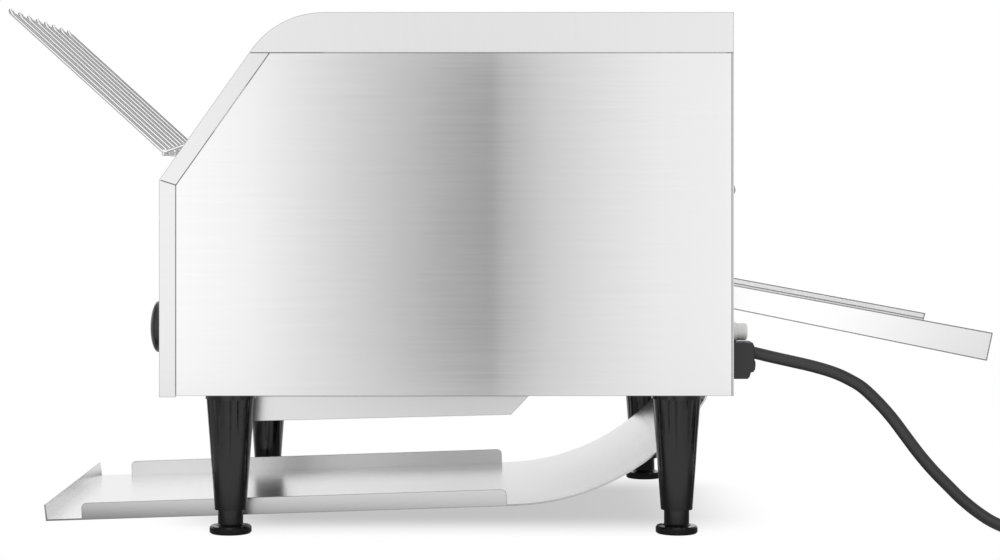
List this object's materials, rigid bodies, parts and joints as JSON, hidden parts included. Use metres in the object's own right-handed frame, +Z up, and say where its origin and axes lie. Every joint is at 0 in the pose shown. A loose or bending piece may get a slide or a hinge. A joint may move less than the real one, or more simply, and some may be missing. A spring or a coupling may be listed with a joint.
{
  "type": "conveyor toaster",
  "caption": "Countertop conveyor toaster: wire feed rack, wire belt between quartz heaters, front collecting tray, rear chute, four levelling legs.",
  "frame": {"origin": "on the worktop, under the middle of the toaster's width and of its length from the feed rack's tip to the rear chute's end", "axes": "+Z up, +Y from the feeding side to the back, +X to the right seen from the front"},
  "size_m": [0.368, 0.9005, 0.3919],
  "materials": {
    "panel_steel": "horizontally brushed",
    "inner_steel": "plain mill finish",
    "tray_steel": "fine brushed",
    "reflector": "bright",
    "quartz": "frosted quartz",
    "ceramic": "unglazed",
    "bronze": "plain",
    "belt_wire": "heat tinted wire",
    "bright_wire": "polished wire",
    "shaft_steel": "turned",
    "motor_paint": "semi-gloss",
    "dark_plastic": "matte",
    "knob_black": "satin",
    "lamp_green": "clear coloured",
    "lamp_amber": "clear coloured",
    "white_plastic": "moulded",
    "cord_rubber": "matte",
    "plug_black": "moulded",
    "leg_black": "glossy moulded"
  },
  "bodies": {
    "case": {"left_side_panel": "panel_steel", "right_side_panel": "panel_steel", "front_fascia": "panel_steel", "top_cover": "panel_steel", "rear_panel": "panel_steel", "base_plate": "inner_steel", "left_inner_plate": "inner_steel", "right_inner_plate": "inner_steel", "upper_reflector": "reflector", "lower_reflector": "reflector", "upper_heaters": "quartz", "lower_heaters": "quartz", "heater_end_caps": "ceramic", "shaft_bushes": "bronze", "conveyor_belt": "belt_wire", "drive_chain": "shaft_steel", "gear_motor": "motor_paint", "motor_bracket": "inner_steel", "selector_switch": "dark_plastic", "speed_control": "dark_plastic", "power_lamp": "lamp_green", "heating_lamp": "lamp_amber", "terminal_block": "white_plastic", "reset_breaker": "dark_plastic", "reset_collar": "white_plastic", "cable_gland": "dark_plastic", "power_cord": "cord_rubber", "power_cord_coil": "cord_rubber", "power_cord_tail": "cord_rubber", "power_plug": "plug_black", "front_left_leg": "leg_black", "front_right_leg": "leg_black", "rear_left_leg": "leg_black", "rear_right_leg": "leg_black", "rack_keeper": "inner_steel", "front_tray": "tray_steel", "crumb_tray_rails": "inner_steel", "chute_runners": "inner_steel", "rear_screws": "shaft_steel", "leg_bolts": "shaft_steel"},
    "selector": {"selector_knob": "knob_black", "selector_spindle": "shaft_steel"},
    "speed": {"speed_knob": "knob_black", "speed_spindle": "shaft_steel"},
    "driven_shaft": {"drive_shaft": "shaft_steel", "drive_belt_sprockets": "shaft_steel", "drive_chain_sprocket": "shaft_steel"},
    "front_shaft": {"idler_shaft": "shaft_steel", "idler_belt_sprockets": "shaft_steel"},
    "motor_shaft": {"motor_sprocket": "shaft_steel"},
    "reset": {"reset_button": "white_plastic"},
    "foot_front_left": {"front_left_foot": "leg_black"},
    "foot_front_right": {"front_right_foot": "leg_black"},
    "foot_rear_left": {"rear_left_foot": "leg_black"},
    "foot_rear_right": {"rear_right_foot": "leg_black"},
    "chute_rear": {"rear_chute": "tray_steel"},
    "tray_crumb": {"crumb_tray": "tray_steel"},
    "rack": {"feed_rack": "bright_wire"}
  },
  "joints": [
    {"name": "selector_knob_turn", "type": "hinge", "parent": "case", "child": "selector", "pos_m": [0.038, -0.24904, 0.149], "axis": [0, 1, 0], "range_deg": [0, 135]},
    {"name": "speed_knob_turn", "type": "hinge", "parent": "case", "child": "speed", "pos_m": [0.1, -0.24904, 0.149], "axis": [0, 1, 0], "range_deg": [0, 270]},
    {"name": "drive_shaft_spin", "type": "hinge", "parent": "case", "child": "driven_shaft", "pos_m": [0, 0.10096, 0.254], "axis": [-1, 0, 0], "continuous": true, "deforming": ["conveyor_belt", "drive_chain"]},
    {"name": "front_shaft_spin", "type": "hinge", "parent": "case", "child": "front_shaft", "pos_m": [0, -0.20304, 0.254], "axis": [-1, 0, 0], "continuous": true},
    {"name": "motor_shaft_spin", "type": "hinge", "parent": "case", "child": "motor_shaft", "pos_m": [0.144, 0.06756, 0.18551], "axis": [-1, 0, 0], "continuous": true},
    {"name": "reset_button_press", "type": "slide", "parent": "case", "child": "reset", "axis": [0, -1, 0], "range_m": [0, 0.003], "stiffness_N_per_m": 300, "springref_m": -0.002},
    {"name": "front_left_foot_level", "type": "slide", "parent": "case", "child": "foot_front_left", "axis": [0, 0, -1], "range_m": [-0.008, 0.012]},
    {"name": "front_right_foot_level", "type": "slide", "parent": "case", "child": "foot_front_right", "axis": [0, 0, -1], "range_m": [-0.008, 0.012]},
    {"name": "rear_left_foot_level", "type": "slide", "parent": "case", "child": "foot_rear_left", "axis": [0, 0, -1], "range_m": [-0.008, 0.012]},
    {"name": "rear_right_foot_level", "type": "slide", "parent": "case", "child": "foot_rear_right", "axis": [0, 0, -1], "range_m": [-0.008, 0.012]},
    {"name": "rear_chute_slide", "type": "slide", "parent": "case", "child": "chute_rear", "axis": [0, 0.9799, -0.1994], "range_m": [0, 0.095]},
    {"name": "crumb_tray_slide", "type": "slide", "parent": "case", "child": "tray_crumb", "axis": [0, -1, 0], "range_m": [0, 0.22]},
    {"name": "feed_rack_pull", "type": "slide", "parent": "case", "child": "rack", "axis": [0, -0.9455, -0.3256], "range_m": [0, 0.04]}
  ],
  "couplings": [
    {"joint": "front_shaft_spin", "follows": "drive_shaft_spin", "ratio": 1},
    {"joint": "motor_shaft_spin", "follows": "drive_shaft_spin", "ratio": 1}
  ]
}
